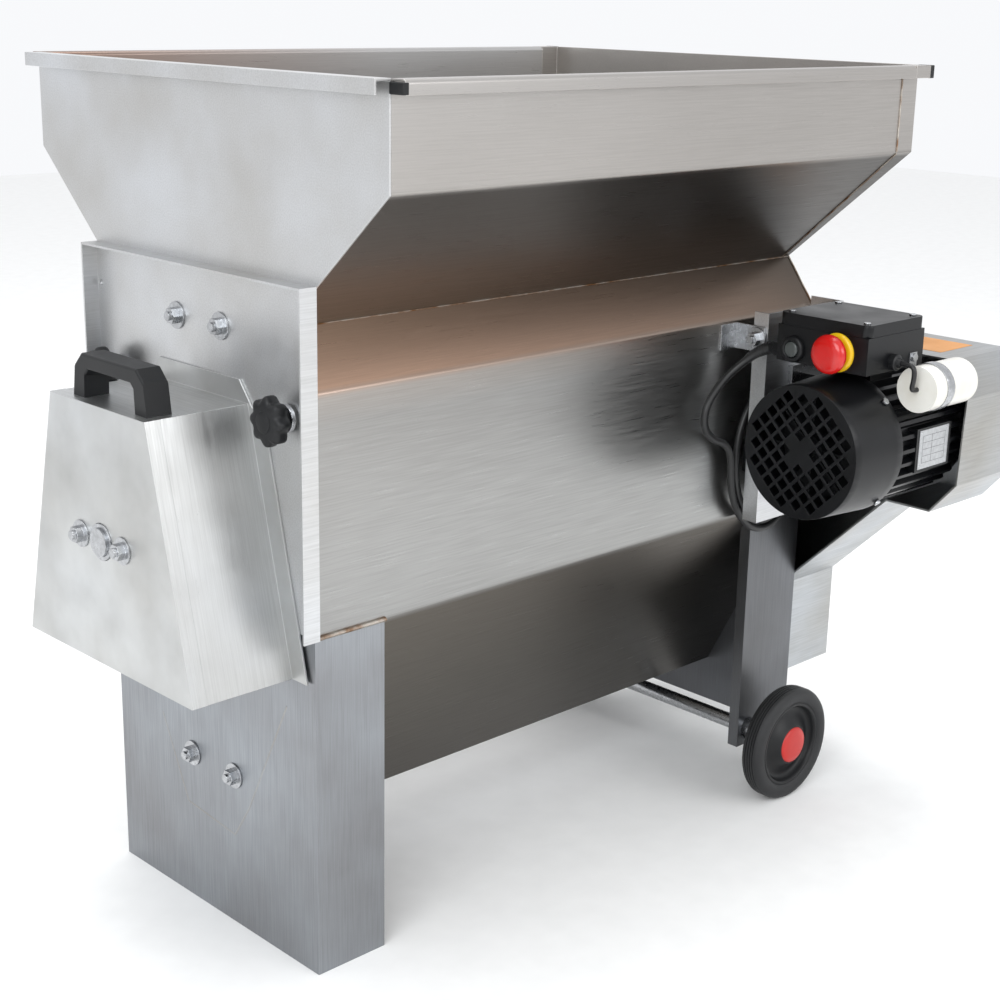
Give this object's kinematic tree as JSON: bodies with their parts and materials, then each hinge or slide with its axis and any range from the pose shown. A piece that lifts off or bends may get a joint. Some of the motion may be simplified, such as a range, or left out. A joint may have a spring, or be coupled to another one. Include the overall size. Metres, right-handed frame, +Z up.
{
  "type": "grape crusher destemmer",
  "caption": "Electric grape crusher destemmer: wide stainless hopper, feed auger, drum with beater, twin rollers, stem cover, side motor and two wheels",
  "frame": {"origin": "middle of the left leg panel's bottom edge, on the floor and on the machine's mid plane", "axes": "+X along the machine from the stem cover to the drive guard, +Y from the motor side to the back, +Z up"},
  "size_m": [0.89, 0.6365, 0.781],
  "materials": {
    "stainless": "brushed stainless sheet",
    "steel_parts": "machined steel",
    "roller": "moulded rubber",
    "black_plastic": "satin moulded",
    "motor_paint": "satin black paint",
    "red_plastic": "glossy moulded",
    "yellow_plastic": "glossy moulded",
    "white_plastic": "glossy moulded",
    "tyre": "moulded rubber",
    "belt": "rubber belt",
    "cast": "machined cast iron",
    "cord": "flexible black sheath"
  },
  "bodies": {
    "frame": {"hopper_front_wall": "stainless", "hopper_back_wall": "stainless", "hopper_left_end": "stainless", "hopper_right_end": "stainless", "body_front_wall": "stainless", "body_back_wall": "stainless", "body_left_end_wall": "stainless", "body_right_end_wall": "stainless", "left_leg_panel": "stainless", "right_leg_panel": "stainless", "feed_trough": "stainless", "end_plate": "stainless", "drum": "stainless", "drum_rings": "stainless", "motor_plate": "stainless", "transmission_guard": "stainless", "feed_drive_cover": "stainless", "capacitor_clamp": "stainless", "flange_bearings": "steel_parts", "flange_bolts": "steel_parts", "drive_chains": "steel_parts", "small_fixings": "steel_parts", "motor_mounting": "steel_parts", "axle": "steel_parts", "control_box": "black_plastic", "control_box_lid": "black_plastic", "cable_glands": "black_plastic", "fan_cowl": "black_plastic", "motor_stator": "motor_paint", "motor_end_shields": "motor_paint", "button_bezels": "yellow_plastic", "capacitor": "white_plastic", "drive_belt": "belt", "power_cord": "cord", "cord_coil": "cord", "mains_plug": "cord"},
    "stem_cover_unit": {"stem_cover": "stainless", "cover_handle": "black_plastic", "cover_bearing": "steel_parts"},
    "front_knob": {"front_star_knob": "black_plastic"},
    "back_knob": {"back_star_knob": "black_plastic"},
    "beater_unit": {"beater": "steel_parts", "beater_pulley": "cast"},
    "feed_unit": {"feed_auger": "stainless", "feed_sprocket": "steel_parts"},
    "front_roller_unit": {"front_roller": "roller", "front_roller_gear": "steel_parts"},
    "back_roller_unit": {"back_roller": "roller", "back_roller_gear": "steel_parts"},
    "motor_unit": {"motor_rotor": "steel_parts", "cooling_fan": "black_plastic", "motor_pulley": "cast"},
    "front_wheel": {"front_wheel_tyre": "tyre", "front_wheel_hub": "black_plastic", "front_wheel_cap": "red_plastic"},
    "back_wheel": {"back_wheel_tyre": "tyre", "back_wheel_hub": "black_plastic", "back_wheel_cap": "red_plastic"},
    "start_push": {"start_button": "black_plastic"},
    "stop_push": {"stop_button": "red_plastic"}
  },
  "joints": [
    {"name": "beater_spin", "type": "hinge", "parent": "frame", "child": "beater_unit", "pos_m": [0.4, 0, 0.389], "axis": [1, 0, 0], "continuous": true},
    {"name": "feed_auger_spin", "type": "hinge", "parent": "frame", "child": "feed_unit", "pos_m": [0.4, 0, 0.567], "axis": [1, 0, 0], "continuous": true},
    {"name": "front_roller_spin", "type": "hinge", "parent": "frame", "child": "front_roller_unit", "pos_m": [0.4, -0.033, 0.151], "axis": [1, 0, 0], "continuous": true},
    {"name": "back_roller_spin", "type": "hinge", "parent": "frame", "child": "back_roller_unit", "pos_m": [0.4, 0.033, 0.151], "axis": [1, 0, 0], "continuous": true},
    {"name": "motor_spin", "type": "hinge", "parent": "frame", "child": "motor_unit", "pos_m": [0.6, -0.272, 0.4196], "axis": [1, 0, 0], "continuous": true},
    {"name": "front_wheel_spin", "type": "hinge", "parent": "frame", "child": "front_wheel", "pos_m": [0.603, -0.205, 0.0625], "axis": [0, 1, 0], "continuous": true},
    {"name": "back_wheel_spin", "type": "hinge", "parent": "frame", "child": "back_wheel", "pos_m": [0.603, 0.205, 0.0625], "axis": [0, 1, 0], "continuous": true},
    {"name": "stem_cover_lift_off", "type": "slide", "parent": "frame", "child": "stem_cover_unit", "axis": [-1, 0, 0], "range_m": [0, 0.12]},
    {"name": "front_knob_turn", "type": "hinge", "parent": "stem_cover_unit", "child": "front_knob", "pos_m": [-0.02, -0.127, 0.505], "axis": [1, 0, 0], "range_deg": [0, 720]},
    {"name": "back_knob_turn", "type": "hinge", "parent": "stem_cover_unit", "child": "back_knob", "pos_m": [-0.02, 0.127, 0.505], "axis": [1, 0, 0], "range_deg": [0, 720]},
    {"name": "start_press", "type": "slide", "parent": "frame", "child": "start_push", "axis": [1, 0, 0], "range_m": [0, 0.004], "stiffness_N_per_m": 400, "springref_m": -0.002},
    {"name": "stop_press", "type": "slide", "parent": "frame", "child": "stop_push", "axis": [1, 0, 0], "range_m": [0, 0.006], "stiffness_N_per_m": 400, "springref_m": -0.002}
  ],
  "couplings": [
    {"joint": "motor_spin", "follows": "beater_spin", "ratio": 3},
    {"joint": "feed_auger_spin", "follows": "beater_spin", "ratio": 0.33333},
    {"joint": "front_roller_spin", "follows": "beater_spin", "ratio": 0.5},
    {"joint": "back_roller_spin", "follows": "beater_spin", "ratio": -0.5}
  ]
}
